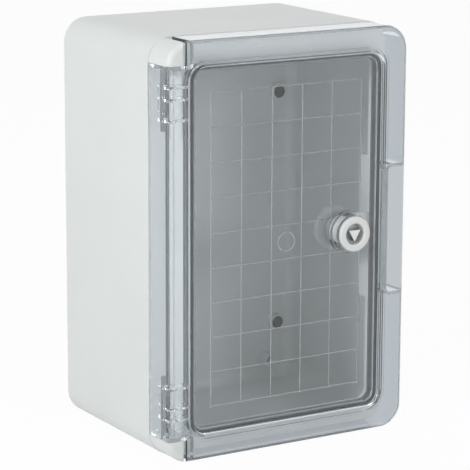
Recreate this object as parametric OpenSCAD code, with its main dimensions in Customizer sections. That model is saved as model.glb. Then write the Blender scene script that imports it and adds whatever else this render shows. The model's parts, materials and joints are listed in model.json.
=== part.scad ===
// Wall-mounted ABS enclosure with a hinged clear door and a quarter-turn triangle lock.
// Frame: origin at the centre of the rear face, +X right, +Z up, the door faces -Y.
// Depths are written as "out", the distance in front of the rear face.

/* [Case] */
// Overall width
case_w = 200; // [160:5:280]
// Overall height
case_h = 300; // [240:5:420]
// Overall depth from the rear face to the front of the door
case_d = 155; // [110:5:220]
// Radius of the four long corners
corner_r = 18; // [16:1:24]
// Thickness of the moulded walls
wall = 3; // [2:0.5:4]
// Rounding of the rear edges
rear_round = 3.5; // [1:0.5:5]
// Fillet inside, between the back and the side walls
inner_fillet = 8; // [4:1:11]

/* [Door] */
// Depth of the door from its front to the seam with the body
door_depth = 27; // [24:1:36]
// Thickness of the front of the door frame
frame_t = 3; // [2:0.5:4]
// Thickness of the skirt round the door
skirt_t = 2.5; // [2:0.5:3]
// Rounding of the front edges
front_round = 4; // [2:0.5:6]
// How far the door and the ears stand inside the outline of the body
door_inset = 0.4; // [0.2:0.1:1]
// Gap between the door and what it closes on
door_gap = 0.4; // [0.3:0.1:1]

/* [Window] */
// Width of the frame on the left and right of the window
frame_side = 21.8; // [21.8:0.2:28]
// Width of the frame above and below the window
frame_end = 19.6; // [18:0.1:28]
// Corner radius of the window
window_r = 10; // [6:1:14]
// How far the window panel lies behind the frame
window_step = 3; // [2:0.5:3]
// Thickness of the window panel
panel_t = 3; // [2:0.5:4]
// Rounding of the frame's edge round the window
bezel_round = 2; // [1:0.5:2.5]
// Pitch of the moulded square grid on the panel
grid_pitch = 25; // [15:1:40]
// Columns of the grid
grid_columns = 5; // [3:1:7]
// Rows of the grid
grid_rows = 9; // [5:1:12]
// Width of a grid ridge
grid_line = 0.8; // [0.6:0.1:1.6]
// Height of a grid ridge
grid_height = 0.3; // [0.2:0.05:0.8]
// Diameter of the ring round the moulding gate at the middle of the panel
gate_ring_d = 14.5; // [10:0.5:20]
// Diameter of the pip that the moulding gate leaves
gate_pip_d = 3.5; // [2:0.5:5]

/* [Seal] */
// Width of the door gasket
gasket_w = 3; // [2:0.5:4]
// Depth of the door gasket
gasket_t = 7; // [5:0.5:8]
// Gap between the gasket and the rim of the closed body
gasket_gap = 0.3; // [0.2:0.1:0.6]
// Thickness of the two ribs that hold the gasket
gasket_rib = 1.5; // [1:0.5:2]
// Height of the sealing rim above the front deck of the body
rim_h = 1; // [0.5:0.5:2]

/* [Hinge] */
// Distance of the hinge axis from the left side of the case
axis_side = 5; // [4.5:0.5:6]
// Distance of the hinge axis behind the front of the door
axis_back = 11.5; // [10.5:0.5:12]
// Width of the ears that carry the hinge pins
ear_w = 13.8; // [12:0.2:14]
// Height of the ears
ear_h = 17; // [14:1:22]
// Gap between an ear and the edge of the door beside it
ear_gap = 2.3; // [2.2:0.1:3]
// Least clearance of the door's hinge side as it swings past the body
swing_clear = 0.5; // [0.3:0.1:1]
// Diameter of the hinge pins
pin_d = 4; // [3:0.5:5]
// Radial clearance of a pin in the door
pin_clearance = 0.08; // [0.05:0.01:0.1]
// Depth of a pin in its ear
pin_seat = 9; // [6:0.5:10]
// Reach of a pin out of its ear
pin_reach = 46; // [40:1:60]
// Outer diameter of the door's hinge barrels
barrel_d = 8.6; // [8:0.2:9]
// Length of a hinge barrel
barrel_l = 19; // [14:1:30]
// Distance of a barrel from the ear
barrel_from_ear = 14; // [8:1:18]

/* [Finger pull] */
// Height of the finger pull in the right edge of the door
pull_h = 93; // [60:1:140]
// Depth of the finger pull from the edge of the door
pull_deep = 15; // [12:0.5:15]

/* [Lock] */
// Distance of the lock centre from the right side of the case
lock_side = 50; // [44:1:64]
// Lock centre, above the middle of the door
lock_z = 2.5; // [-20:0.5:20]
// Diameter of the lock's front ring
ring_d = 25.5; // [24:0.5:30]
// Thickness of the lock's front ring
ring_t = 3; // [2:0.5:5]
// Diameter of the foot of the clear boss under the lock
boss_foot_d = 31; // [30:0.5:36]
// Height of the clear boss in front of the panel
boss_h = 8.2; // [6:0.2:12]
// Diameter of the lock barrel
barrel_lock_d = 20; // [18:0.5:22]
// Diameter of the key recess
recess_d = 15.5; // [14:0.5:17]
// Side of the triangular drive
triangle_side = 9.7; // [8:0.1:10.5]
// Diameter of the lock nut
nut_d = 26; // [25:0.5:30]
// Diameter of the cam disc
cam_d = 32.5; // [32:0.5:38]
// Thickness of the cam disc
cam_t = 4; // [3:0.5:5]

/* [Fixings] */
// Spacing of the wall holes across
hole_dx = 166; // [120:1:168]
// Spacing of the wall holes up and down
hole_dz = 184; // [120:1:220]
// Middle of the wall holes, above the middle of the case
hole_mid_z = -10; // [-20:1:20]
// Diameter of the wall holes
hole_d = 6; // [4:0.5:7]
// Diameter of the plugs that cover the wall holes
plug_d = 10; // [9:0.5:12]
// Spacing of the mounting plate inserts across
insert_dx = 144; // [100:2:150]
// Spacing of the mounting plate inserts up and down
insert_dz = 260; // [180:2:264]
// Outer diameter of the threaded inserts
insert_d = 6.4; // [5:0.2:8]
// Bore of the threaded inserts
insert_bore = 4.2; // [3:0.1:5]
// Length of the threaded inserts
insert_l = 8; // [5:0.5:10]

/* [Hidden] */
$fn = 64;
abs_grey = "#d9dcd8";
clear_pc = "#cfd8da";
rubber_black = "#2b2c2e";
lock_grey = "#e4e6e3";
zinc = "#b9bcbd";
steel = "#c6c9cb";

// Overlap of pieces that are moulded as one
lap = 0.5;
// How far a cut runs past the face that it opens
cut = 1;

// Depths in front of the rear face
seal_t = 0.8;
door_front = case_d;
door_rear = case_d - door_depth + door_gap;
ledge = case_d - door_depth;
frame_back = door_front - frame_t;
panel_front = door_front - window_step;
panel_back = panel_front - panel_t;
gasket_back = panel_back - gasket_t;
rim_front = gasket_back - gasket_gap;
deck_front = rim_front - rim_h;
deck_back = deck_front - wall;
ring_front = panel_front + boss_h + seal_t + ring_t;

// Window and gasket outline
window_w = case_w - 2 * frame_side;
window_h = case_h - 2 * frame_end;
bezel_w = 6;
panel_lap = 4.5;
groove_slack = 0.2;
rim_w = 2;
gasket_stand = 1;
gate_pip_h = 0.6;
gate_hole_d = 1;
lip_in = gasket_w / 2 + groove_slack;

// Door outline and ears
door_w = case_w - 2 * door_inset;
door_h = case_h - 2 * door_inset;
door_r = corner_r - door_inset;
door_edge = 10;
ear_right = -case_w / 2 + ear_w;
ear_face = case_h / 2 - ear_h;
ear_round = 2;
ear_clear = 0.3;
notch_edge = ear_right + ear_gap;

// Swing of the door: its hinge side turns within swing_r of the axis, behind the ears and inside the ledge
axis_x = -case_w / 2 + axis_side;
axis_out = door_front - axis_back;
swing_r = door_depth - axis_back - swing_clear;
hinge_skirt_rear = axis_out - sqrt(pow(swing_r, 2) - pow(axis_side - door_inset, 2));
ear_corner_r = norm([ear_right - ear_round - axis_x, axis_back - ear_round]) + ear_round;
notch_wall_x = axis_x + ear_corner_r + swing_clear;

// Shoulder of the body inside the door
shoulder_left = axis_x + swing_r + swing_clear;
shoulder_side_gap = 12;
shoulder_end_gap = 5;
shoulder_right = case_w / 2 - shoulder_side_gap;
shoulder_end = case_h / 2 - shoulder_end_gap;
shoulder_r = 8;
opening_w = window_w - 2 * lip_in;
pull_wall = case_w / 2 - pull_deep;
pull_clear = 1;
pull_r = 3;

// Hinge
rib_t = 2;
rib_past_axis = 2;
guide_from_barrel = 6;
pin_end_gap = 0.5;

// Lock place, depths and fits
lock_x = case_w / 2 - lock_side;
fit = 0.05;
boss_margin = 1;
boss_foot_h = 2.5;
ring_edge = 1;
seal_inset = 0.5;
recess_deep = 8.5;
core_flange_t = 2;
core_shaft_d = 12;
core_seat_gap = 0.1;
core_end_gap = 0.3;
triangle_inset = 1;
cam_front_gap = 0.8;
cam_front = deck_back - cam_front_gap;
nut_t = 6;
nut_edge = 0.8;
nut_clear = 1;
nut_notches = 4;
notch_w = 4;
notch_deep = 1.4;
shank = 8;
washer_t = 1;
washer_rim = 3;
screw_d = 5;
screw_head_d = 9;
screw_head_t = 3.2;
screw_l = 12;
slot_l = 5;
slot_w = 1.2;
slot_deep = 1.6;
oring_w = 1.5;
oring_behind = 1;
oring_out = panel_back - oring_behind;
strike_clear = 1.5;
strike_edge = lock_x + barrel_lock_d / 2 + strike_clear;
strike_h = 20;
cam_flat_gap = 1;
cam_flat = strike_edge - lock_x - cam_flat_gap;

// Fixings inside
plug_t = 2;
plug_rim = 1.75;
hole_boss_d = plug_d + 2 * plug_rim;
hole_boss_h = 4;
insert_rim = 2;
insert_floor = 2;
insert_boss_d = insert_d + 2 * insert_rim;
insert_boss_h = insert_l + insert_floor;

// A front-view shape, given in X and Z, as a plate between two depths
module plate(from, to) {
    translate([0, -from, 0])
        rotate([90, 0, 0])
            linear_extrude(to - from)
                children();
}

// Rectangle with round corners
module round_rect(w, h, r) {
    square([w - 2 * r, h], center = true);
    square([w, h - 2 * r], center = true);
    for (x = [-1, 1], z = [-1, 1])
        translate([x * (w / 2 - r), z * (h / 2 - r)])
            circle(r);
}

// The same rectangle, moved in on every side
module inset_outline(w, h, r, inset) {
    round_rect(w - 2 * inset, h - 2 * inset, r - inset);
}

// Rectangle from its lowest to its highest corner
module span(x0, x1, z0, z1) {
    translate([x0, z0])
        square([x1 - x0, z1 - z0]);
}

// A section carried round a rectangle with round corners.
// In the section, x is the distance outside the rectangle and y is the depth.
module frame_sweep(w, h, r) {
    rotate([90, 0, 0])
        for (q = [0:3]) {
            half = q % 2 == 0 ? w / 2 : h / 2;
            run = q % 2 == 0 ? h - 2 * r : w - 2 * r;
            rotate([0, 0, 90 * q]) {
                translate([half, run / 2, 0])
                    rotate([90, 0, 0])
                        linear_extrude(run)
                            children();
                translate([half - r, run / 2, 0])
                    rotate_extrude(angle = 90)
                        translate([r, 0])
                            children();
            }
        }
}

// The corner of a square of side r, left outside its inscribed quarter circle
module spandrel(r) {
    difference() {
        square(r);
        circle(r);
    }
}

// Places at the four corners of a rectangle
module at_corners(dx, dz, mid_z = 0) {
    for (x = [-1, 1], z = [-1, 1])
        translate([x * dx / 2, mid_z + z * dz / 2])
            children();
}

// Both hinge ends: the child is drawn at the top and mirrored to the bottom
module both_ends() {
    children();
    mirror([0, 0, 1])
        children();
}

// Section of the body wall: rear edge rounded outside, filleted inside
module body_section() {
    difference() {
        union() {
            translate([-wall - inner_fillet - lap, 0])
                square([wall + inner_fillet + lap, wall]);
            translate([-wall, 0])
                square([wall, ledge]);
            translate([-wall - inner_fillet, 0])
                square([wall + inner_fillet, wall + inner_fillet]);
        }
        translate([-wall - inner_fillet, wall + inner_fillet])
            circle(inner_fillet);
        translate([-wall - inner_fillet, wall + inner_fillet])
            square([inner_fillet, ledge]);
        translate([-rear_round, rear_round])
            rotate(-90)
                spandrel(rear_round);
    }
}

// Front-view outline of the shoulder that stands inside the door, shrunk by an inset
module shoulder_outline(inset) {
    difference() {
        translate([(shoulder_left + shoulder_right) / 2, 0])
            inset_outline(shoulder_right - shoulder_left, 2 * shoulder_end, shoulder_r, inset);
        span(
            pull_wall - skirt_t - pull_clear - inset, case_w / 2,
            -pull_h / 2 - skirt_t - pull_clear - inset, pull_h / 2 + skirt_t + pull_clear + inset
        );
    }
}

// Front-view outline of the finger pull, open to the right, grown by a wall
module pull_outline(grow) {
    translate([pull_wall + pull_deep, 0])
        round_rect(2 * pull_deep + 2 * grow, pull_h + 2 * grow, pull_r + grow);
}

// Front-view outline of an ear in the upper left corner, with its inner front corner square
module ear_outline() {
    intersection() {
        round_rect(door_w, door_h, door_r);
        span(-case_w / 2, ear_right, ear_face, case_h / 2);
    }
}

// An ear: the corner of the door's outer form, with a round front edge and a socket for the pin
module ear() {
    difference() {
        intersection() {
            translate([-door_w / 2 + door_r, 0, door_h / 2 - door_r])
                rotate([90, 0, 0])
                    rotate([0, 0, 90])
                        rotate_extrude(angle = 90)
                            front_section(door_r, ledge - wall);
            plate(ledge - wall, door_front)
                ear_outline();
        }
        translate([ear_right - ear_round, -door_front + ear_round, ear_face - cut])
            linear_extrude(ear_h + 2 * cut)
                rotate(-90)
                    spandrel(ear_round);
        pin_hole(pin_d / 2, ear_face - cut, ear_face + pin_seat);
    }
}

// Section of the door's outer form from its rear to its round front edge
module front_section(width, rear) {
    difference() {
        translate([0, rear])
            square([width, door_front - rear]);
        translate([width - front_round, door_front - front_round])
            spandrel(front_round);
    }
}

// A round hole or rod on the hinge axis, between two heights
module pin_hole(r, from, to) {
    translate([axis_x, -axis_out, from])
        cylinder(r = r, h = to - from);
}

module body() {
    color(abs_grey)
        difference() {
            union() {
                frame_sweep(case_w, case_h, corner_r)
                    body_section();
                plate(0, wall)
                    inset_outline(case_w, case_h, corner_r, wall + inner_fillet);
                plate(ledge - wall, ledge)
                    difference() {
                        inset_outline(case_w, case_h, corner_r, wall / 2);
                        shoulder_outline(wall);
                    }
                plate(ledge - wall, deck_front)
                    difference() {
                        shoulder_outline(0);
                        shoulder_outline(wall);
                    }
                plate(deck_back, deck_front)
                    difference() {
                        shoulder_outline(0);
                        inset_outline(window_w, window_h, window_r, lip_in);
                    }
                plate(deck_back, deck_front)
                    span(
                        strike_edge, opening_w / 2 + lap,
                        lock_z - strike_h / 2, lock_z + strike_h / 2
                    );
                plate(deck_front, rim_front)
                    difference() {
                        inset_outline(window_w, window_h, window_r, -rim_w / 2);
                        inset_outline(window_w, window_h, window_r, rim_w / 2);
                    }
                both_ends()
                    ear();
                plate(0, wall + hole_boss_h)
                    at_corners(hole_dx, hole_dz, hole_mid_z)
                        circle(d = hole_boss_d);
                plate(0, wall + insert_boss_h)
                    at_corners(insert_dx, insert_dz)
                        circle(d = insert_boss_d);
            }
            plate(-cut, wall + hole_boss_h + cut)
                at_corners(hole_dx, hole_dz, hole_mid_z)
                    circle(d = hole_d);
            plate(wall, wall + hole_boss_h + cut)
                at_corners(hole_dx, hole_dz, hole_mid_z)
                    circle(d = plug_d);
            plate(wall + insert_boss_h - insert_l, wall + insert_boss_h + cut)
                at_corners(insert_dx, insert_dz)
                    circle(d = insert_d);
        }
}

// Section of the door's skirt and of the edge of its front
module door_section() {
    difference() {
        translate([-door_edge - lap, 0])
            front_section(door_edge + lap, door_rear);
        translate([-door_edge - cut, door_rear - cut])
            square([door_edge + cut - skirt_t, frame_back - door_rear + cut]);
    }
}

// Rounded inner edge of the frame round the window
module bezel_section() {
    difference() {
        translate([0, panel_front - lap])
            square([bezel_w, door_front - panel_front + lap]);
        translate([bezel_round, door_front - bezel_round])
            rotate(90)
                spandrel(bezel_round);
    }
}

// Section of a moulded ridge, with its foot sunk in the panel
module ridge_section() {
    polygon([
        [-grid_line / 2, -lap], [grid_line / 2, -lap],
        [grid_line / 2, 0], [0, grid_height], [-grid_line / 2, 0]
    ]);
}

// The moulded grid of ridges on the inside of the panel
module grid_ridges() {
    wide = grid_columns * grid_pitch;
    high = grid_rows * grid_pitch;
    translate([0, -panel_back, 0]) {
        for (i = [0:grid_columns])
            translate([(i - grid_columns / 2) * grid_pitch, 0, 0])
                linear_extrude(high + grid_line, center = true)
                    ridge_section();
        for (j = [0:grid_rows])
            translate([0, 0, (j - grid_rows / 2) * grid_pitch])
                rotate([0, 90, 0])
                    linear_extrude(wide + grid_line, center = true)
                        ridge_section();
    }
}

// Ridge round the moulding gate at the middle of the panel
module gate_ring() {
    translate([0, -panel_back, 0])
        rotate([-90, 0, 0])
            rotate_extrude()
                translate([(gate_ring_d - grid_line) / 2, 0])
                    ridge_section();
}

// Pip of the moulding gate, with the small hole where the sprue broke off
module gate_pip() {
    difference() {
        circle(d = gate_pip_d);
        circle(d = gate_hole_d);
    }
}

// Two ribs behind the panel that hold the gasket between them
module gasket_ribs() {
    for (side = [-1, 1]) {
        mid = side * (lip_in + gasket_rib / 2);
        plate(gasket_back + gasket_stand, panel_back)
            difference() {
                inset_outline(window_w, window_h, window_r, -mid - gasket_rib / 2);
                inset_outline(window_w, window_h, window_r, -mid + gasket_rib / 2);
            }
    }
}

// Hinge barrel at the top, with the ribs that tie it to the frame
module hinge_barrel() {
    top = ear_face - barrel_from_ear;
    translate([axis_x, -axis_out, top - barrel_l])
        cylinder(d = barrel_d, h = barrel_l);
    for (z = [top, top - barrel_l / 2 + rib_t / 2, top - barrel_l - guide_from_barrel + rib_t])
        translate([0, 0, z - rib_t])
            linear_extrude(rib_t)
                hinge_rib();
}

// Plan of a hinge rib: from the frame back to the pin, and across to the gasket rib
module hinge_rib() {
    translate([axis_x, -axis_out])
        circle(d = barrel_d);
    span(axis_x - barrel_d / 2, axis_x + barrel_d / 2, -frame_back - lap, -axis_out);
    span(axis_x, -window_w / 2 - lip_in - gasket_rib / 2, -frame_back - lap, -gasket_back - rib_past_axis);
}

// Walls of the door along the notch for the upper ear
module notch_walls() {
    low = ear_face - ear_clear - skirt_t;
    right = notch_wall_x + skirt_t;
    rear = rim_front + swing_clear;
    left = -door_w / 2 + skirt_t / 2;
    translate([0, 0, low])
        linear_extrude(skirt_t) {
            span(left, right, -frame_back - lap, -rear);
            intersection() {
                translate([axis_x, -axis_out])
                    circle(swing_r);
                span(left, right, -rear - lap, -hinge_skirt_rear);
            }
        }
    plate(rear, frame_back + lap)
        span(notch_wall_x, right, low, door_h / 2 - skirt_t / 2);
}

module door() {
    notch_face = ear_face - ear_clear;
    color(clear_pc)
        difference() {
            union() {
                frame_sweep(door_w, door_h, door_r)
                    door_section();
                plate(frame_back, door_front)
                    difference() {
                        inset_outline(door_w, door_h, door_r, door_edge);
                        inset_outline(window_w, window_h, window_r, -bezel_w / 2);
                    }
                frame_sweep(window_w, window_h, window_r)
                    bezel_section();
                plate(panel_back, panel_front)
                    inset_outline(window_w, window_h, window_r, -panel_lap);
                difference() {
                    grid_ridges();
                    lock_plate(panel_back - grid_height - cut, panel_back)
                        circle(d = nut_d + 2 * nut_clear);
                }
                gate_ring();
                plate(panel_back - gate_pip_h, panel_back + lap)
                    gate_pip();
                gasket_ribs();
                plate(panel_front - lap, panel_front + boss_h)
                    translate([lock_x, lock_z])
                        circle(d = ring_d + 2 * boss_margin);
                plate(panel_front - lap, panel_front + boss_foot_h)
                    translate([lock_x, lock_z])
                        circle(d = boss_foot_d);
                both_ends()
                    hinge_barrel();
                plate(door_rear, frame_back)
                    intersection() {
                        pull_outline(skirt_t);
                        square([door_w, door_h], center = true);
                    }
                both_ends()
                    notch_walls();
            }
            both_ends() {
                plate(0, door_front + cut)
                    span(-case_w / 2 - cut, notch_edge, notch_face, case_h / 2 + cut);
                plate(0, frame_back)
                    span(-case_w / 2 - cut, notch_wall_x, notch_face, case_h / 2 + cut);
            }
            plate(0, hinge_skirt_rear)
                span(-case_w / 2 - cut, notch_edge, -case_h / 2, case_h / 2);
            plate(door_rear - cut, frame_back)
                pull_outline(0);
            plate(0, ring_front)
                translate([lock_x, lock_z])
                    circle(d = barrel_lock_d + 2 * fit);
            pin_hole(pin_d / 2 + pin_clearance, -case_h / 2, case_h / 2);
        }
}

module door_gasket() {
    color(rubber_black)
        plate(gasket_back, panel_back)
            difference() {
                inset_outline(window_w, window_h, window_r, -gasket_w / 2);
                inset_outline(window_w, window_h, window_r, gasket_w / 2);
            }
}

// A hinge pin from its seat in the upper ear to its free end below the barrel
module hinge_pin() {
    color(steel)
        pin_hole(pin_d / 2, ear_face - pin_reach, ear_face + pin_seat - pin_end_gap);
}

module hinge_pin_upper() {
    hinge_pin();
}

module hinge_pin_lower() {
    mirror([0, 0, 1])
        hinge_pin();
}

// A body of revolution on the lock axis: x is the radius and y the depth
module lock_turned() {
    translate([lock_x, 0, lock_z])
        rotate([90, 0, 0])
            rotate_extrude()
                children();
}

// A front-view shape centred on the lock axis
module lock_plate(from, to) {
    translate([lock_x, 0, lock_z])
        plate(from, to)
            children();
}

module lock_housing() {
    ring_back = ring_front - ring_t;
    barrel_end = cam_front + core_end_gap;
    color(lock_grey)
        lock_turned()
            difference() {
                union() {
                    translate([0, ring_back])
                        square([ring_d / 2, ring_t]);
                    translate([0, barrel_end])
                        square([barrel_lock_d / 2, ring_front - barrel_end]);
                }
                translate([0, ring_front - recess_deep])
                    square([recess_d / 2, recess_deep + cut]);
                translate([0, barrel_end - cut])
                    square([core_shaft_d / 2 + fit, ring_front]);
                translate([ring_d / 2 - ring_edge, ring_front - ring_edge])
                    spandrel(ring_edge);
            }
}

module lock_seal() {
    color(rubber_black)
        lock_plate(panel_front + boss_h, panel_front + boss_h + seal_t)
            difference() {
                circle(d = ring_d - 2 * seal_inset);
                circle(d = barrel_lock_d + 2 * fit);
            }
}

// Round nut with a chamfered rear edge and notches for a hook spanner
module lock_nut() {
    rear = panel_back - nut_t;
    bore_r = barrel_lock_d / 2 + fit;
    color(lock_grey)
        difference() {
            lock_turned()
                polygon([
                    [bore_r, panel_back], [nut_d / 2, panel_back], [nut_d / 2, rear + nut_edge],
                    [nut_d / 2 - nut_edge, rear], [bore_r, rear]
                ]);
            for (k = [0:nut_notches - 1])
                lock_plate(rear - cut, panel_back + cut)
                    rotate(360 * (k + 0.5) / nut_notches)
                        translate([nut_d / 2 - notch_deep, -notch_w / 2])
                            square([notch_deep + cut, notch_w]);
        }
}

module lock_core() {
    flange_back = ring_front - recess_deep + core_seat_gap;
    color(zinc)
        difference() {
            union() {
                lock_turned()
                    difference() {
                        union() {
                            translate([0, flange_back])
                                square([recess_d / 2 - 2 * fit, core_flange_t]);
                            translate([0, cam_front])
                                square([core_shaft_d / 2, flange_back + lap - cam_front]);
                        }
                        translate([core_shaft_d / 2 - oring_w, oring_out - oring_w])
                            square([oring_w + cut, 2 * oring_w]);
                    }
                lock_plate(flange_back + core_flange_t - lap, ring_front - triangle_inset)
                    rotate(-90)
                        circle(d = 2 * triangle_side / sqrt(3), $fn = 3);
                lock_plate(cam_front - cam_t, cam_front + lap)
                    square(shank, center = true);
            }
            lock_plate(cam_front - cam_t - cut, cam_front + screw_l)
                circle(d = screw_d);
        }
}

module core_oring() {
    color(rubber_black)
        lock_turned()
            translate([core_shaft_d / 2 - oring_w / 2 - fit, oring_out])
                circle(oring_w / 2 - fit, $fn = 24);
}

// Disc with a flat that clears the strike. A quarter turn brings its round side behind the strike.
module lock_cam() {
    color(lock_grey)
        lock_plate(cam_front - cam_t, cam_front)
            difference() {
                circle(d = cam_d);
                translate([cam_flat, -cam_d / 2])
                    square(cam_d);
                square(shank + 2 * fit, center = true);
            }
}

module cam_washer() {
    color(zinc)
        lock_plate(cam_front - cam_t - washer_t, cam_front - cam_t)
            difference() {
                circle(d = shank + 2 * washer_rim);
                circle(d = screw_d + 4 * fit);
            }
}

module cam_screw() {
    head_front = cam_front - cam_t - washer_t;
    color(zinc)
        difference() {
            union() {
                lock_plate(head_front - screw_head_t, head_front)
                    circle(d = screw_head_d);
                lock_plate(head_front - lap, head_front + screw_l)
                    circle(d = screw_d - 2 * fit);
            }
            lock_plate(head_front - screw_head_t - cut, head_front - screw_head_t + slot_deep)
                for (a = [0, 90])
                    rotate(a)
                        square([slot_l, slot_w], center = true);
        }
}

module plate_inserts() {
    color(zinc)
        plate(wall + insert_boss_h - insert_l, wall + insert_boss_h)
            at_corners(insert_dx, insert_dz)
                difference() {
                    circle(d = insert_d - 2 * fit);
                    circle(d = insert_bore);
                }
}

module wall_plugs() {
    color(rubber_black)
        plate(wall + hole_boss_h - plug_t, wall + hole_boss_h)
            at_corners(hole_dx, hole_dz, hole_mid_z)
                circle(d = plug_d - 2 * fit);
}

body();
door();
door_gasket();
hinge_pin_upper();
hinge_pin_lower();
lock_housing();
lock_seal();
lock_nut();
lock_core();
core_oring();
lock_cam();
cam_washer();
cam_screw();
plate_inserts();
wall_plugs();
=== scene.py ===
import json
import math

import bpy
from mathutils import Matrix, Vector


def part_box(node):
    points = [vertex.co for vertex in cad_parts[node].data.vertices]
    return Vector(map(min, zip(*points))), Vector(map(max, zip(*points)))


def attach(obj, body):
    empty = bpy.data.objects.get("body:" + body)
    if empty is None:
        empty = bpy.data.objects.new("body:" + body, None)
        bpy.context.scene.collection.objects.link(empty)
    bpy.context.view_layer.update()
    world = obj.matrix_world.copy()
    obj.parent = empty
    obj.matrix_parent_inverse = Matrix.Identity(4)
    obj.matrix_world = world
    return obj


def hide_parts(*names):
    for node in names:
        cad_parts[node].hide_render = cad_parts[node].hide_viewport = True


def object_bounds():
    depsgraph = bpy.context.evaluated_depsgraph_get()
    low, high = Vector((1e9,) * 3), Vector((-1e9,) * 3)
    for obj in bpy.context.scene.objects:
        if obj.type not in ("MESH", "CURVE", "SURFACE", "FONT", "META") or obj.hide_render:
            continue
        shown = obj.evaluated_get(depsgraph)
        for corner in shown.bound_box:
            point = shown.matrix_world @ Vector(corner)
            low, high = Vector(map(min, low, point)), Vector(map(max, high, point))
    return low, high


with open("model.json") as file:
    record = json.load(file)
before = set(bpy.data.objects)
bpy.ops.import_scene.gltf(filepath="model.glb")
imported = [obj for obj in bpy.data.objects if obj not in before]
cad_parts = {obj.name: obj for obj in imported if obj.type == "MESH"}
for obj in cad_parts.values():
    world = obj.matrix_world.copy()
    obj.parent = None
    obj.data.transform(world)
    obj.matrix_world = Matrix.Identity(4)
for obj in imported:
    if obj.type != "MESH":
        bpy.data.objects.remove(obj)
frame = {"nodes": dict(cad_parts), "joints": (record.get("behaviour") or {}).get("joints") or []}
cad_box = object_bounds()
nodes = frame["nodes"]
joint_at = {joint["name"]: Vector(joint["pos_m"]) for joint in frame["joints"]}

MM = 0.001

# Lock housing and the thread on its barrel, in millimetres
RING_T = 3.0
RING_EDGE = 1.0
RING_BACK_EDGE = 0.3
RECESS_R = 7.75
RECESS_DEEP = 8.5
RECESS_MOUTH = 0.9
BARREL_R = 9.95
BARREL_CHAMFER = 0.6
BORE_R = 6.05
THREAD_PITCH = 2.2
THREAD_DEEP = 1.0

# Depth behind the front of the lock's core from which its colour is painted darker, as painted shade in the
# key recess, in millimetres
SHADE_PAINT_DEEP = 3.0

# Door gasket, in millimetres. It stops just short of its seat
GASKET_W = 3.0
GASKET_CORNER_R = 10.0
GASKET_SEAT_GAP = 0.1

# Hinge pins and the ends of their sockets, in millimetres. Each pin is shorter than its solid, and the socket
# behind it is filled up to the round corner of the ear
PIN_SHORT = 3.0
PIN_CHAMFER = 0.5
SOCKET_FIT = 0.03
EAR_CORNER_R = 17.6
CASE_CORNER_R = 18.0

# Plugs over the wall holes, in millimetres. Each drop is measured from the top of the dome
PLUG_R = 4.95
PLUG_EDGE = 0.5
PLUG_RIM_W = 1.2
PLUG_RIM_DROP = 0.4
PLUG_GROOVE = 0.3
PLUG_DOME_DROP = 0.3
PLUG_CROWN_R = 1.6
PLUG_CROWN_DROP = 0.02

# Threaded inserts for the mounting plate, in millimetres
INSERT_R = 3.15
INSERT_EDGE = 0.3
INSERT_BORE_R = 2.1
INSERT_LEAD_IN = 0.5
INSERT_PITCH = 0.8
INSERT_THREAD_DEEP = 0.35

# Points in one turn of a round piece, and the angle from which an edge is sharp
ROUND_STEPS = 96
SMALL_ROUND_STEPS = 48
SHARP_ANGLE = math.radians(35)

# Turns +Z to the front of the case, which is -Y
Z_TO_FRONT = Matrix.Rotation(math.radians(90), 4, "X")

# Sockets of a colour Mix node, by number, because others there have the same names
MIX_FACTOR = 0
MIX_LOW = 6
MIX_HIGH = 7
MIX_COLOUR = 2

# How often light may pass or be thrown back by a face of the clear door before it is lost
CLEAR_BOUNCES = 32

# Strength of the white world on the far left and on the far right
WORLD_LEFT = 0.28
WORLD_RIGHT = 0.63

# Half the side of the floor and of the grey card, in metres
FLOOR_HALF = 6.0
CARD_HALF = 3.0

# Height of the grey card above the floor in millimetres, and how much of the floor is shown as plain white
CARD_LIFT = 0.2
FLOOR_WHITE = 0.95

# Soft lamps: a key from the left, one from the front, a weak fill from behind the camera and one from above.
# Each has its place and the side of its square in metres, and its power in watts
LAMPS = {
    "key_softbox": ((-1.85, -0.55, 0.95), 0.5, 19.5),
    "front_softbox": ((0.55, -2.0, 0.6), 0.45, 5.1),
    "fill_softbox": ((-1.0, -1.8, 0.1), 0.8, 2.1),
    "top_softbox": ((0.0, -0.25, 2.0), 0.6, 4.0),
}

# The photograph's frame in pixels, and the camera that sees the case as it does
PHOTO_PX = 470
FOCAL_PX = 2340
SENSOR = 36.0
CAMERA_AT = Vector((-873.0, -1520.5, 365.2)) * MM
CAMERA_YAW = math.radians(31.21)
CAMERA_PITCH = math.radians(12.51)
CAMERA_ROLL = math.radians(0.23)
CAMERA_REACH = 50.0


def linear(hex_colour):
    """Linear RGBA of an sRGB hex colour."""
    channels = [int(hex_colour[i:i + 2], 16) / 255 for i in (0, 2, 4)]
    return [c / 12.92 if c <= 0.04045 else ((c + 0.055) / 1.055) ** 2.4 for c in channels] + [1.0]


def per_mm(size):
    """Texture scale whose features are about that many millimetres wide."""
    return 1 / (size * MM)


def add(tree, kind, inputs=None, **settings):
    """A node with its settings. inputs maps a socket's name or number to a value, or to an output to link."""
    node = tree.nodes.new(kind)
    for name, value in settings.items():
        setattr(node, name, value)
    for name, value in (inputs or {}).items():
        if isinstance(value, bpy.types.NodeSocket):
            tree.links.new(value, node.inputs[name])
        else:
            node.inputs[name].default_value = value
    return node


def new_material(name):
    """An empty material and its node tree."""
    material = bpy.data.materials.new(name)
    material.use_nodes = True
    material.node_tree.nodes.clear()
    return material, material.node_tree


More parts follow.
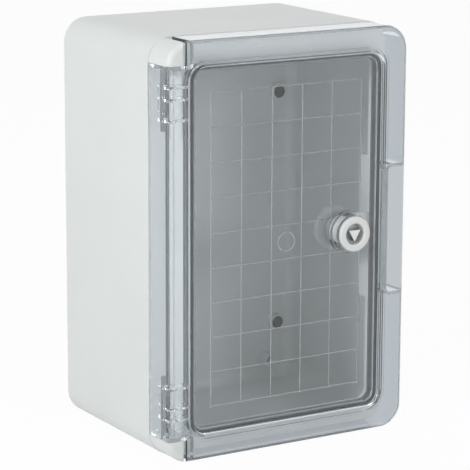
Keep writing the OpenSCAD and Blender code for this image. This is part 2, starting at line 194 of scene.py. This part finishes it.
def grained_skin(tree, colour, grain, gloss, relief, nature):
    """Ends a material whose gloss and fine relief follow one grain. gloss holds the least and the greatest
    roughness, relief the strength and the height in millimetres, nature the shader's other values."""
    roughness = add(tree, "ShaderNodeMapRange", {"Value": grain, "To Min": gloss[0], "To Max": gloss[1]})
    bump = add(tree, "ShaderNodeBump", {
        "Height": grain, "Strength": relief[0], "Distance": relief[1] * MM})
    shader = add(tree, "ShaderNodeBsdfPrincipled", {
        "Base Color": colour, "Roughness": roughness.outputs[0], "Normal": bump.outputs[0], **nature})
    add(tree, "ShaderNodeOutputMaterial", {"Surface": shader.outputs[0]})


def abs_light_grey():
    """Moulded ABS, light grey right through. The spark-eroded mould leaves a fine even grain, which breaks
    the shine into a soft satin, and the flow of the melt leaves a hardly visible cloud. The grain is drawn
    coarser than the real one, so that it shows."""
    material, tree = new_material("abs_light_grey")
    place = add(tree, "ShaderNodeTexCoord").outputs["Object"]
    cloud = add(tree, "ShaderNodeTexNoise", {"Vector": place, "Scale": per_mm(70), "Detail": 2.0})
    colour = add(tree, "ShaderNodeMix", {
        MIX_FACTOR: cloud.outputs["Fac"], MIX_LOW: linear("D8DCDB"), MIX_HIGH: linear("DFE3E2")},
        data_type="RGBA")
    grain = add(tree, "ShaderNodeTexNoise", {"Vector": place, "Scale": per_mm(0.9), "Detail": 3.0})
    grained_skin(
        tree, colour.outputs[MIX_COLOUR], grain.outputs["Fac"],
        gloss=(0.40, 0.52), relief=(0.25, 0.03), nature={"IOR": 1.53})
    return material


def clear_polycarbonate():
    """Injection-moulded clear polycarbonate: polished on both sides, with the slight waves that the flow of
    the melt leaves. Its faint cool grey tint lies in its depth, so the walls that are seen along their length
    look darker than the window. Lamps shine through it."""
    material, tree = new_material("clear_polycarbonate")
    place = add(tree, "ShaderNodeTexCoord").outputs["Object"]
    waves = add(tree, "ShaderNodeTexNoise", {"Vector": place, "Scale": per_mm(35), "Detail": 1.0})
    haze = add(tree, "ShaderNodeTexNoise", {"Vector": place, "Scale": per_mm(6), "Detail": 3.0})
    polish = add(tree, "ShaderNodeMapRange", {"Value": haze.outputs["Fac"], "To Min": 0.0, "To Max": 0.03})
    bump = add(tree, "ShaderNodeBump", {
        "Height": waves.outputs["Fac"], "Strength": 0.2, "Distance": 0.1 * MM})
    shader = add(tree, "ShaderNodeBsdfPrincipled", {
        "Base Color": linear("FBFDFF"), "Roughness": polish.outputs[0], "Normal": bump.outputs[0],
        "IOR": 1.585, "Transmission Weight": 1.0})
    room_light = add(tree, "ShaderNodeBsdfTransparent", {"Color": linear("FDFEFF")})
    lamp_light = add(tree, "ShaderNodeBsdfTransparent", {"Color": linear("FCFCFE")})
    path = add(tree, "ShaderNodeLightPath").outputs
    indoors = add(tree, "ShaderNodeMixShader", {
        0: path["Is Diffuse Ray"], 1: shader.outputs[0], 2: room_light.outputs[0]})
    lamps = add(tree, "ShaderNodeMixShader", {
        0: path["Is Shadow Ray"], 1: indoors.outputs[0], 2: lamp_light.outputs[0]})
    tint = add(tree, "ShaderNodeVolumeAbsorption", {"Color": linear("C3C9CC"), "Density": 22.0})
    add(tree, "ShaderNodeOutputMaterial", {"Surface": lamps.outputs[0], "Volume": tint.outputs[0]})
    return material


def moulded_rubber(name, hex_low, hex_high):
    """Moulded rubber: matt, slightly dusty, with a fine pitted skin. The pits are drawn coarser than the real
    ones, so that they show."""
    material, tree = new_material(name)
    place = add(tree, "ShaderNodeTexCoord").outputs["Object"]
    dust = add(tree, "ShaderNodeTexNoise", {"Vector": place, "Scale": per_mm(4), "Detail": 4.0})
    colour = add(tree, "ShaderNodeMix", {
        MIX_FACTOR: dust.outputs["Fac"], MIX_LOW: linear(hex_low), MIX_HIGH: linear(hex_high)},
        data_type="RGBA")
    pits = add(tree, "ShaderNodeTexNoise", {"Vector": place, "Scale": per_mm(0.5), "Detail": 2.0})
    grained_skin(
        tree, colour.outputs[MIX_COLOUR], pits.outputs["Fac"],
        gloss=(0.62, 0.78), relief=(0.3, 0.03), nature={"IOR": 1.52})
    return material


def moulded_polyamide(name, hex_low, hex_high):
    """Moulded polyamide of the lock: a little waxy, with a fine speckle from its filler, drawn coarser than
    the real one so that it shows."""
    material, tree = new_material(name)
    place = add(tree, "ShaderNodeTexCoord").outputs["Object"]
    speckle = add(tree, "ShaderNodeTexNoise", {"Vector": place, "Scale": per_mm(0.8), "Detail": 3.0})
    colour = add(tree, "ShaderNodeMix", {
        MIX_FACTOR: speckle.outputs["Fac"], MIX_LOW: linear(hex_low), MIX_HIGH: linear(hex_high)},
        data_type="RGBA")
    grained_skin(
        tree, colour.outputs[MIX_COLOUR], speckle.outputs["Fac"],
        gloss=(0.34, 0.46), relief=(0.15, 0.03), nature={"IOR": 1.53})
    return material


def worked_metal(name, hex_low, hex_high, stretch, mark_mm, gloss):
    """Metal with the fine marks that its making leaves, mark_mm wide. They are drawn coarser than the real
    ones, so that they show. stretch draws them out along an axis."""
    material, tree = new_material(name)
    place = add(tree, "ShaderNodeTexCoord").outputs["Object"]
    drawn = add(tree, "ShaderNodeMapping", {"Vector": place, "Scale": stretch})
    marks = add(tree, "ShaderNodeTexNoise", {
        "Vector": drawn.outputs[0], "Scale": per_mm(mark_mm), "Detail": 4.0})
    colour = add(tree, "ShaderNodeMix", {
        MIX_FACTOR: marks.outputs["Fac"], MIX_LOW: linear(hex_low), MIX_HIGH: linear(hex_high)},
        data_type="RGBA")
    grained_skin(
        tree, colour.outputs[MIX_COLOUR], marks.outputs["Fac"],
        gloss=gloss, relief=(0.2, 0.02), nature={"Metallic": 1.0})
    return material


def die_cast_zinc():
    """Die-cast zinc of the lock's core. The floor of the key recess is painted darker as painted shade, and
    the raised triangle keeps the lighter colour. The grit is drawn coarser than the real one, so that it
    shows."""
    material, tree = new_material("die_cast_zinc")
    place = add(tree, "ShaderNodeTexCoord").outputs["Object"]
    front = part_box("lock_core")[0].y
    depth = add(tree, "ShaderNodeSeparateXYZ", {0: place})
    # Painted shade mask: 0 from SHADE_PAINT_DEEP behind the front of the core and deeper, 1 at its front
    recess_shade_mask = add(tree, "ShaderNodeMapRange", {
        "Value": depth.outputs["Y"], "From Min": front + SHADE_PAINT_DEEP * MM, "From Max": front})
    grit = add(tree, "ShaderNodeTexNoise", {"Vector": place, "Scale": per_mm(1.2), "Detail": 4.0})
    skin = add(tree, "ShaderNodeMix", {
        # Darker colour painted on the floor of the recess as painted shade
        MIX_FACTOR: grit.outputs["Fac"], MIX_LOW: linear("9DA0A2"), MIX_HIGH: linear("B3B6B8")},
        data_type="RGBA")
    bright = add(tree, "ShaderNodeMix", {
        MIX_FACTOR: grit.outputs["Fac"], MIX_LOW: linear("CDD0D1"), MIX_HIGH: linear("E2E4E4")},
        data_type="RGBA")
    # Mixes the painted shade of the recess into the lighter colour of the front
    colour = add(tree, "ShaderNodeMix", {
        MIX_FACTOR: recess_shade_mask.outputs[0],
        MIX_LOW: skin.outputs[MIX_COLOUR],
        MIX_HIGH: bright.outputs[MIX_COLOUR]}, data_type="RGBA")
    grained_skin(
        tree, colour.outputs[MIX_COLOUR], grit.outputs["Fac"],
        gloss=(0.28, 0.44), relief=(0.2, 0.02), nature={"Metallic": 1.0})
    return material


ABS = abs_light_grey()
CLEAR = clear_polycarbonate()

# The gasket and the flat seal are nearly black, the plugs and the O-ring a little greyer
SEAL_RUBBER = moulded_rubber("moulded_seal_rubber", "323438", "404246")
PLUG_RUBBER = moulded_rubber("moulded_plug_rubber", "3A3C3F", "484A4D")

# The front of the lock is nearly white, and glass fibre makes its nut and cam a dull grey
POLYAMIDE = moulded_polyamide("moulded_polyamide", "DADCDB", "E9EBE9")
FILLED_POLYAMIDE = moulded_polyamide("glass_filled_polyamide", "A2A5A6", "B0B3B4")

# Drawn steel is bright, with lines along the rod. Zinc plating is paler and softer, with a faint mottle
DRAWN_STEEL = worked_metal(
    "drawn_steel", "84888B", "B4B8BA", stretch=(1, 1, 0.05), mark_mm=0.4, gloss=(0.10, 0.26))
ZINC_STEEL = worked_metal(
    "zinc_plated_steel", "C6CACC", "E4E7E8", stretch=(1, 1, 1), mark_mm=2.5, gloss=(0.20, 0.36))
DIE_CAST_ZINC = die_cast_zinc()


def in_scene(name, data):
    """A new object in the scene."""
    thing = bpy.data.objects.new(name, data)
    bpy.context.scene.collection.objects.link(thing)
    return thing


def mesh_of(name, points, faces):
    """A mesh from its points and faces."""
    mesh = bpy.data.meshes.new(name)
    mesh.from_pydata(points, [], faces)
    return mesh


def dress(piece, body):
    """Shades a piece smooth up to its sharp edges, and says what it rides on."""
    piece.data.shade_smooth()
    piece.data.set_sharp_from_angle(angle=SHARP_ANGLE)
    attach(piece, body)
    return piece


def finished(name, points, faces, material, body):
    """A piece from its points and faces, in its material, that rides on a CAD body."""
    mesh = mesh_of(name, points, faces)
    mesh.validate()
    mesh.materials.append(material)
    return dress(in_scene(name, mesh), body)


def reach(node):
    """How far the front and the back of a CAD node lie from the rear face of the case, in millimetres."""
    low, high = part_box(node)
    return -low.y / MM, -high.y / MM


def half_sides(node):
    """Half the width and half the height of a CAD node, in millimetres."""
    low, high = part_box(node)
    return (high.x - low.x) / 2 / MM, (high.z - low.z) / 2 / MM


def arc(centre_r, centre_along, radius, start, end, steps):
    """Points of a round edge in a section, from one angle to the other, in degrees."""
    angles = [math.radians(start + (end - start) * i / steps) for i in range(steps + 1)]
    return [(centre_r + radius * math.cos(a), centre_along + radius * math.sin(a)) for a in angles]


def turned(section, place, steps):
    """Points and faces of a closed section turned round an axis, with one point where it meets the axis.
    place turns (x, y, along) into a point."""
    angles = [2 * math.pi * k / steps for k in range(steps)]
    points = []
    rings = []
    for r, along in section:
        ring = [place(r * math.cos(a), r * math.sin(a), along) for a in (angles if r else angles[:1])]
        rings.append(range(len(points), len(points) + len(ring)))
        points += ring
    faces = []
    for here, there in zip(rings, rings[1:] + rings[:1]):
        if len(here) == len(there) == 1:
            continue
        for k in range(steps):
            sides = ((here, k), (here, k + 1), (there, k + 1), (there, k))
            faces.append(tuple(dict.fromkeys(ring[i % len(ring)] for ring, i in sides)))
    return points, faces


def lock_axis(x, y, along):
    """A point of the lock: across, up, and its distance from the rear face of the case, in millimetres."""
    at = joint_at["lock_quarter_turn"]
    return at.x + x * MM, -along * MM, at.z + y * MM


def lock_shell():
    """Housing of the lock: a front ring with a round edge, the key recess, and the core of its barrel."""
    front, end = reach("lock_housing")
    ring_r = half_sides("lock_housing")[0]
    core_r = BARREL_R - THREAD_DEEP
    back = front - RING_T
    section = [(BORE_R, end), (core_r - BARREL_CHAMFER, end), (core_r, end + BARREL_CHAMFER), (core_r, back)]
    section += arc(ring_r - RING_BACK_EDGE, back + RING_BACK_EDGE, RING_BACK_EDGE, -90, 0, steps=3)
    section += arc(ring_r - RING_EDGE, front - RING_EDGE, RING_EDGE, 0, 90, steps=8)
    section += arc(RECESS_R + RECESS_MOUTH, front - RECESS_MOUTH, RECESS_MOUTH, 90, 180, steps=6)
    section += [(RECESS_R, front - RECESS_DEEP), (BORE_R, front - RECESS_DEEP)]
    points, faces = turned(section, lock_axis, ROUND_STEPS)
    shell = finished("lock_shell", points, faces, POLYAMIDE, "door_leaf")
    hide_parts("lock_housing")


def geometry_tree(name, inputs):
    """An empty geometry node tree. inputs gives the name of each input and the kind of its socket."""
    tree = bpy.data.node_groups.new(name, "GeometryNodeTree")
    for label, kind in inputs.items():
        tree.interface.new_socket(label, in_out="INPUT", socket_type="NodeSocket" + kind)
    tree.interface.new_socket("Geometry", in_out="OUTPUT", socket_type="NodeSocketGeometry")
    return tree


def end_tree(tree, shape, material):
    """Ends a geometry node tree with its shape as plain mesh, in the material."""
    real = add(tree, "GeometryNodeRealizeInstances", {0: shape})
    painted = add(tree, "GeometryNodeSetMaterial", {"Geometry": real.outputs[0], "Material": material})
    add(tree, "NodeGroupOutput", {"Geometry": painted.outputs[0]})


def screw_thread():
    """A tree that makes a screw thread: a small diamond section carried along a spiral."""
    tree = geometry_tree("screw_thread", {
        "Radius": "Float", "Pitch": "Float", "Turns": "Float", "Depth": "Float", "Material": "Material"})
    entry = add(tree, "NodeGroupInput").outputs
    height = add(tree, "ShaderNodeMath", {0: entry["Pitch"], 1: entry["Turns"]}, operation="MULTIPLY")
    spiral = add(tree, "GeometryNodeCurveSpiral", {
        "Resolution": SMALL_ROUND_STEPS, "Rotations": entry["Turns"], "Start Radius": entry["Radius"],
        "End Radius": entry["Radius"], "Height": height.outputs[0]})
    diamond = add(tree, "GeometryNodeCurvePrimitiveCircle", {"Resolution": 4, "Radius": entry["Depth"]})
    ridge = add(tree, "GeometryNodeCurveToMesh", {
        "Curve": spiral.outputs[0], "Profile Curve": diamond.outputs[0], "Fill Caps": True})
    end_tree(tree, ridge.outputs[0], entry["Material"])
    return tree


def corner_pattern():
    """A tree that puts copies of one fixing at the four corners of a rectangle."""
    tree = geometry_tree("corner_pattern", {
        "Fixing": "Object", "Across": "Float", "Up": "Float", "Material": "Material"})
    entry = add(tree, "NodeGroupInput").outputs
    corners = add(tree, "GeometryNodeMeshGrid", {
        "Size X": entry["Across"], "Size Y": entry["Up"], "Vertices X": 2, "Vertices Y": 2})
    fixing = add(tree, "GeometryNodeObjectInfo", {"Object": entry["Fixing"]})
    copies = add(tree, "GeometryNodeInstanceOnPoints", {
        "Points": corners.outputs["Mesh"], "Instance": fixing.outputs["Geometry"]})
    end_tree(tree, copies.outputs[0], entry["Material"])
    return tree


def baked(name, tree, values, placing):
    """The plain mesh that a geometry node tree makes with these values of its inputs, put in its place."""
    holder = in_scene(name + "_maker", bpy.data.meshes.new(name + "_maker"))
    modifier = holder.modifiers.new("maker", "NODES")
    modifier.node_group = tree
    for socket in tree.interface.items_tree:
        if socket.in_out == "INPUT":
            modifier[socket.identifier] = values[socket.name]
    graph = bpy.context.evaluated_depsgraph_get()
    mesh = bpy.data.meshes.new_from_object(holder.evaluated_get(graph))
    mesh.name = name
    bpy.data.objects.remove(holder)
    mesh.transform(placing)
    return in_scene(name, mesh)


def lock_thread():
    """Thread on the barrel of the lock, which shows through the clear boss."""
    front, end = reach("lock_housing")
    length = front - RING_T - end
    turns = math.floor(length / THREAD_PITCH) - 1
    values = {
        "Radius": (BARREL_R - THREAD_DEEP) * MM,
        "Pitch": THREAD_PITCH * MM,
        "Turns": float(turns),
        "Depth": THREAD_DEEP * MM,
        "Material": POLYAMIDE,
    }
    start = Vector(lock_axis(0, 0, end + (length - turns * THREAD_PITCH) / 2))
    thread = baked("lock_thread", screw_thread(), values, Matrix.Translation(start) @ Z_TO_FRONT)
    dress(thread, "door_leaf")


def round_rect_path(half_w, half_h, r, steps=10):
    """Points and outward directions round a rectangle with round corners, in X and Z."""
    path = []
    for k, (sx, sz) in enumerate([(1, 1), (-1, 1), (-1, -1), (1, -1)]):
        for i in range(steps + 1):
            a = math.radians(90 * k + 90 * i / steps)
            out = (math.cos(a), math.sin(a))
            path.append(((sx * (half_w - r) + r * out[0], sz * (half_h - r) + r * out[1]), out))
    return path


def door_gasket_ring():
    """Rubber ring of the door: flat towards the panel, with a round sealing bead towards the body."""
    low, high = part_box("door_gasket")
    centre = (low + high) / 2
    half = GASKET_W / 2
    front, back = reach("door_gasket")
    seat = front - GASKET_SEAT_GAP
    section = [(half, seat), (-half, seat)] + arc(0, back + half, half, 180, 360, steps=10)
    half_w, half_h = half_sides("door_gasket")
    path = round_rect_path(half_w - half, half_h - half, GASKET_CORNER_R)
    points = [
        (centre.x + (x + out_x * r) * MM, -along * MM, centre.z + (z + out_z * r) * MM)
        for (x, z), (out_x, out_z) in path for r, along in section]
    count = len(section)
    faces = []
    for here in range(0, len(points), count):
        there = (here + count) % len(points)
        for i in range(count):
            j = (i + 1) % count
            faces.append((here + i, there + i, there + j, here + j))
    ring = finished("door_gasket_ring", points, faces, SEAL_RUBBER, "door_leaf")
    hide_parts("door_gasket")


def hinge_axis(side):
    """The function that turns (x, y, along) into a point of a hinge. side is 1 for the upper hinge and -1 for
    the lower."""
    at = joint_at["door_hinge"]
    return lambda x, y, along: (at.x + x * MM, at.y + side * y * MM, side * along * MM)


def socket_end_shape(r, inner_end, place, steps=24):
    """Points and faces of a round plug that starts at its inner end and ends flush with the ear's corner."""
    low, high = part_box("body")
    at = joint_at["door_hinge"]
    corner_x = low.x / MM + CASE_CORNER_R
    corner_z = high.z / MM - CASE_CORNER_R
    points = []
    for k in range(1, steps):
        a = math.pi * k / steps
        across, half = -r * math.cos(a), r * math.sin(a)
        from_corner = at.x / MM + across - corner_x
        top = corner_z + math.sqrt((EAR_CORNER_R - SOCKET_FIT) ** 2 - from_corner ** 2)
        slice_corners = ((-half, inner_end), (half, inner_end), (half, top), (-half, top))
        points += [place(across, y, along) for y, along in slice_corners]
    count = len(slice_corners)
    last = len(points) - count
    faces = [tuple(reversed(range(count))), tuple(range(last, len(points)))]
    for here in range(0, last, count):
        there = here + count
        for i in range(count):
            j = (i + 1) % count
            faces.append((here + i, here + j, there + j, there + i))
    return points, faces


def hinge_rods():
    """Hinge pins with chamfered ends, and the ends of their sockets inside the round corners of the ears."""
    for name, side in (("upper", 1), ("lower", -1)):
        low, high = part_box("hinge_pin_" + name)
        free, socket_end = sorted((abs(low.z) / MM, abs(high.z) / MM))
        seat = socket_end - PIN_SHORT
        r = half_sides("hinge_pin_" + name)[0]
        tip_r = r - PIN_CHAMFER
        section = [
            (0, free), (tip_r, free), (r, free + PIN_CHAMFER),
            (r, seat - PIN_CHAMFER), (tip_r, seat), (0, seat)]
        place = hinge_axis(side)
        points, faces = turned(section, place, SMALL_ROUND_STEPS)
        rod = finished("hinge_rod_" + name, points, faces, DRAWN_STEEL, "case")
        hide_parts("hinge_pin_" + name)
        points, faces = socket_end_shape(r - SOCKET_FIT, seat, place)
        finished("socket_end_" + name, points, faces, ABS, "case")


def plug_section(deep):
    """Section of a wall plug: a rim with a round edge, a groove inside it, and a low dome."""
    rim_r = PLUG_R - PLUG_RIM_W
    section = [(0, -deep), (PLUG_R, -deep)]
    section += arc(PLUG_R - PLUG_EDGE, -PLUG_RIM_DROP - PLUG_EDGE, PLUG_EDGE, 0, 90, steps=4)
    section += [
        (rim_r, -PLUG_RIM_DROP),
        (rim_r - PLUG_GROOVE, -PLUG_RIM_DROP - PLUG_GROOVE),
        (rim_r - 2 * PLUG_GROOVE, -PLUG_DOME_DROP),
        (PLUG_CROWN_R, -PLUG_CROWN_DROP),
        (0, 0)]
    return section


def insert_section(deep):
    """Section of a threaded insert: a plain outside with a small edge, and a thread in its bore."""
    section = [(INSERT_BORE_R, -deep), (INSERT_R, -deep)]
    section += [(INSERT_R, -INSERT_EDGE), (INSERT_R - INSERT_EDGE, 0)]
    section += [(INSERT_BORE_R + INSERT_LEAD_IN, 0), (INSERT_BORE_R, -INSERT_LEAD_IN)]
    for k in range(int((deep - 2 * INSERT_LEAD_IN) / INSERT_PITCH)):
        along = -INSERT_LEAD_IN - k * INSERT_PITCH
        section += [
            (INSERT_BORE_R + INSERT_THREAD_DEEP, along - INSERT_PITCH / 2),
            (INSERT_BORE_R, along - INSERT_PITCH)]
    return section


def own_axis(x, y, along):
    """A point of a fixing that is still at the origin, from millimetres."""
    return x * MM, y * MM, along * MM


def four_fixings(name, node, radius, section, pattern, material):
    """Four turned fixings in the place of a CAD node that holds the same four. section is the function that
    gives the section of one for its depth."""
    low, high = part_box(node)
    deep = (high.y - low.y) / MM
    points, faces = turned(section(deep), own_axis, SMALL_ROUND_STEPS)
    one = in_scene(name + "_one", mesh_of(name + "_one", points, faces))
    values = {
        "Fixing": one,
        "Across": high.x - low.x - 2 * radius * MM,
        "Up": high.z - low.z - 2 * radius * MM,
        "Material": material,
    }
    centre = Vector(((low.x + high.x) / 2, low.y, (low.z + high.z) / 2))
    piece = dress(baked(name, pattern, values, Matrix.Translation(centre) @ Z_TO_FRONT), "case")
    bpy.data.objects.remove(one)
    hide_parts(node)


def fixings():
    """Domed plugs over the wall holes and threaded inserts for the mounting plate."""
    pattern = corner_pattern()
    four_fixings("wall_hole_plugs", "wall_plugs", PLUG_R, plug_section, pattern, PLUG_RUBBER)
    four_fixings(
        "threaded_inserts", "plate_inserts", INSERT_R, insert_section, pattern, ZINC_STEEL)


def paint_cad_nodes():
    """Finishes of the CAD nodes that stay in view."""
    finishes = {
        "body": ABS,
        "door": CLEAR,
        "lock_seal": SEAL_RUBBER,
        "lock_nut": FILLED_POLYAMIDE,
        "lock_core": DIE_CAST_ZINC,
        "core_oring": PLUG_RUBBER,
        "lock_cam": FILLED_POLYAMIDE,
        "cam_washer": ZINC_STEEL,
        "cam_screw": ZINC_STEEL,
    }
    for name, material in finishes.items():
        mesh = nodes[name].data
        mesh.materials.clear()
        mesh.materials.append(material)


def seen_straight(tree):
    """1 for a ray that comes from the camera, off a mirror or through glass, and 0 for any other."""
    path = add(tree, "ShaderNodeLightPath").outputs
    mirror = add(tree, "ShaderNodeMath", {0: path["Is Glossy Ray"], 1: path["Is Transmission Ray"]},
                 operation="MAXIMUM")
    seen = add(tree, "ShaderNodeMath", {0: path["Is Camera Ray"], 1: mirror.outputs[0]}, operation="MAXIMUM")
    return seen.outputs[0]


def white_studio():
    """World that is seen as plain white, and lights the case more from the right than from the left."""
    world = bpy.data.worlds.new("white_studio")
    bpy.context.scene.world = world
    world.use_nodes = True
    tree = world.node_tree
    tree.nodes.clear()
    way = add(tree, "ShaderNodeSeparateXYZ", {0: add(tree, "ShaderNodeTexCoord").outputs["Generated"]})
    level = add(tree, "ShaderNodeMapRange", {
        "Value": way.outputs["X"], "From Min": -1.0, "From Max": 1.0,
        "To Min": WORLD_LEFT, "To Max": WORLD_RIGHT})
    lit = add(tree, "ShaderNodeBackground", {"Color": linear("FFFFFF"), "Strength": level.outputs[0]})
    white = add(tree, "ShaderNodeBackground", {"Color": linear("FFFFFF"), "Strength": 1.0})
    both = add(tree, "ShaderNodeMixShader", {0: seen_straight(tree), 1: lit.outputs[0], 2: white.outputs[0]})
    add(tree, "ShaderNodeOutputWorld", {"Surface": both.outputs[0]})


def level_sheet(name, half, height, material):
    """A level square sheet round the origin."""
    corners = [(-half, -half, height), (half, -half, height), (half, half, height), (-half, half, height)]
    sheet = in_scene(name, mesh_of(name, corners, [(0, 1, 2, 3)]))
    sheet.data.materials.append(material)
    return sheet


def floor():
    """Pale floor under the case. The camera sees it as white, with the case's shadow left in."""
    material, tree = new_material("white_floor")
    matt = add(tree, "ShaderNodeBsdfDiffuse", {"Color": linear("FAFAFA")})
    glow = add(tree, "ShaderNodeEmission", {"Color": linear("FFFFFF"), "Strength": 1.0})
    share = add(tree, "ShaderNodeMath", {0: seen_straight(tree), 1: FLOOR_WHITE}, operation="MULTIPLY")
    both = add(tree, "ShaderNodeMixShader", {0: share.outputs[0], 1: matt.outputs[0], 2: glow.outputs[0]})
    add(tree, "ShaderNodeOutputMaterial", {"Surface": both.outputs[0]})
    plane = level_sheet("floor", FLOOR_HALF, cad_box[0].z, material)


def grey_card():
    """Grey card on the floor, as under clear things in a studio. Only light that has passed the clear
    door meets it, so the card gives the door's edges their grey and leaves the light on the case alone."""
    material, tree = new_material("grey_card")
    grey = add(tree, "ShaderNodeEmission", {"Color": linear("BFC3C6"), "Strength": 1.0})
    add(tree, "ShaderNodeOutputMaterial", {"Surface": grey.outputs[0]})
    card = level_sheet("grey_card", CARD_HALF, cad_box[0].z + CARD_LIFT * MM, material)
    card.visible_camera = False
    card.visible_diffuse = False
    card.visible_glossy = False
    card.visible_shadow = False


def soft_lamps():
    """Square lamps that face the middle of the case."""
    middle = (cad_box[0] + cad_box[1]) / 2
    for name, (at, side, watts) in LAMPS.items():
        data = bpy.data.lights.new(name, "AREA")
        data.size = side
        data.energy = watts
        lamp = in_scene(name, data)
        lamp.location = at
        lamp.rotation_euler = (middle - lamp.location).to_track_quat("-Z", "Y").to_euler()


def photo_camera():
    """Camera at the photograph's viewing angle."""
    forward = Vector((
        math.sin(CAMERA_YAW) * math.cos(CAMERA_PITCH),
        math.cos(CAMERA_YAW) * math.cos(CAMERA_PITCH),
        -math.sin(CAMERA_PITCH)))
    level = Vector((math.cos(CAMERA_YAW), -math.sin(CAMERA_YAW), 0))
    upright = level.cross(forward)
    right = math.cos(CAMERA_ROLL) * level + math.sin(CAMERA_ROLL) * upright
    up = math.cos(CAMERA_ROLL) * upright - math.sin(CAMERA_ROLL) * level
    data = bpy.data.cameras.new("photo_camera")
    data.sensor_width = SENSOR
    data.lens = FOCAL_PX / PHOTO_PX * SENSOR
    data.clip_end = CAMERA_REACH
    camera = in_scene("photo_camera", data)
    camera.matrix_world = Matrix.Translation(CAMERA_AT) @ Matrix((right, up, -forward)).transposed().to_4x4()
    bpy.context.scene.camera = camera


def plain_view():
    """Plain colours, and enough bounces for light to find its way through the clear door."""
    scene = bpy.context.scene
    scene.view_settings.view_transform = "Standard"
    scene.cycles.max_bounces = CLEAR_BOUNCES
    scene.cycles.transmission_bounces = CLEAR_BOUNCES
    scene.cycles.glossy_bounces = CLEAR_BOUNCES


photo_camera()
white_studio()
floor()
grey_card()
soft_lamps()
paint_cad_nodes()
lock_shell()
lock_thread()
door_gasket_ring()
hinge_rods()
fixings()
plain_view()
